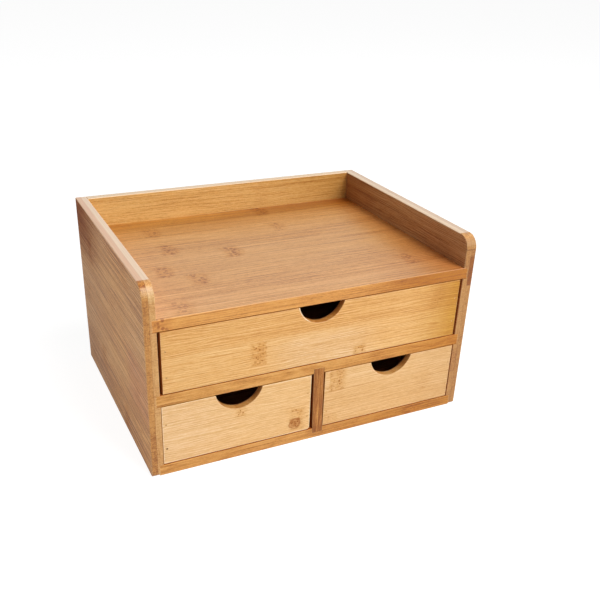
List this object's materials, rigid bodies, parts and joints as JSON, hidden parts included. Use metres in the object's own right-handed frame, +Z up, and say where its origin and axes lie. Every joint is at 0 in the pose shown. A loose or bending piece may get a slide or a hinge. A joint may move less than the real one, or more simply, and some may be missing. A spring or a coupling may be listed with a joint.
{
  "type": "desktop drawer organizer",
  "caption": "Small bamboo desktop drawer unit with a wide drawer above narrower ones, finger notches in the fronts and an open tray on top.",
  "frame": {"origin": "on the floor, under the middle of the whole chest", "axes": "+X to the right as seen from the front, +Y from the drawer fronts to the back panel, +Z up"},
  "size_m": [0.33, 0.2472, 0.1874],
  "materials": {
    "carcass_bamboo": "two-ply bamboo with a thin clear satin varnish",
    "front_bamboo": "paler bamboo with a thin clear satin varnish",
    "drawer_bamboo": "sanded bare bamboo",
    "pin_steel": "dull wire steel"
  },
  "bodies": {
    "carcass": {"left_side_panel": "carcass_bamboo", "right_side_panel": "carcass_bamboo", "back_panel": "carcass_bamboo", "top_shelf": "carcass_bamboo", "middle_shelf": "carcass_bamboo", "bottom_panel": "carcass_bamboo", "centre_divider": "carcass_bamboo"},
    "upper_drawer": {"upper_drawer_front": "front_bamboo", "upper_drawer_left_side": "drawer_bamboo", "upper_drawer_right_side": "drawer_bamboo", "upper_drawer_back": "drawer_bamboo", "upper_drawer_bottom": "drawer_bamboo", "upper_drawer_pins": "pin_steel"},
    "lower_left_drawer": {"lower_left_drawer_front": "front_bamboo", "lower_left_drawer_left_side": "drawer_bamboo", "lower_left_drawer_right_side": "drawer_bamboo", "lower_left_drawer_back": "drawer_bamboo", "lower_left_drawer_bottom": "drawer_bamboo", "lower_left_drawer_pins": "pin_steel"},
    "lower_right_drawer": {"lower_right_drawer_front": "front_bamboo", "lower_right_drawer_left_side": "drawer_bamboo", "lower_right_drawer_right_side": "drawer_bamboo", "lower_right_drawer_back": "drawer_bamboo", "lower_right_drawer_bottom": "drawer_bamboo", "lower_right_drawer_pins": "pin_steel"}
  },
  "joints": [
    {"name": "upper_drawer_slide", "type": "slide", "parent": "carcass", "child": "upper_drawer", "axis": [0, -1, 0], "range_m": [0, 0.18]},
    {"name": "lower_left_drawer_slide", "type": "slide", "parent": "carcass", "child": "lower_left_drawer", "axis": [0, -1, 0], "range_m": [0, 0.18]},
    {"name": "lower_right_drawer_slide", "type": "slide", "parent": "carcass", "child": "lower_right_drawer", "axis": [0, -1, 0], "range_m": [0, 0.18]}
  ]
}
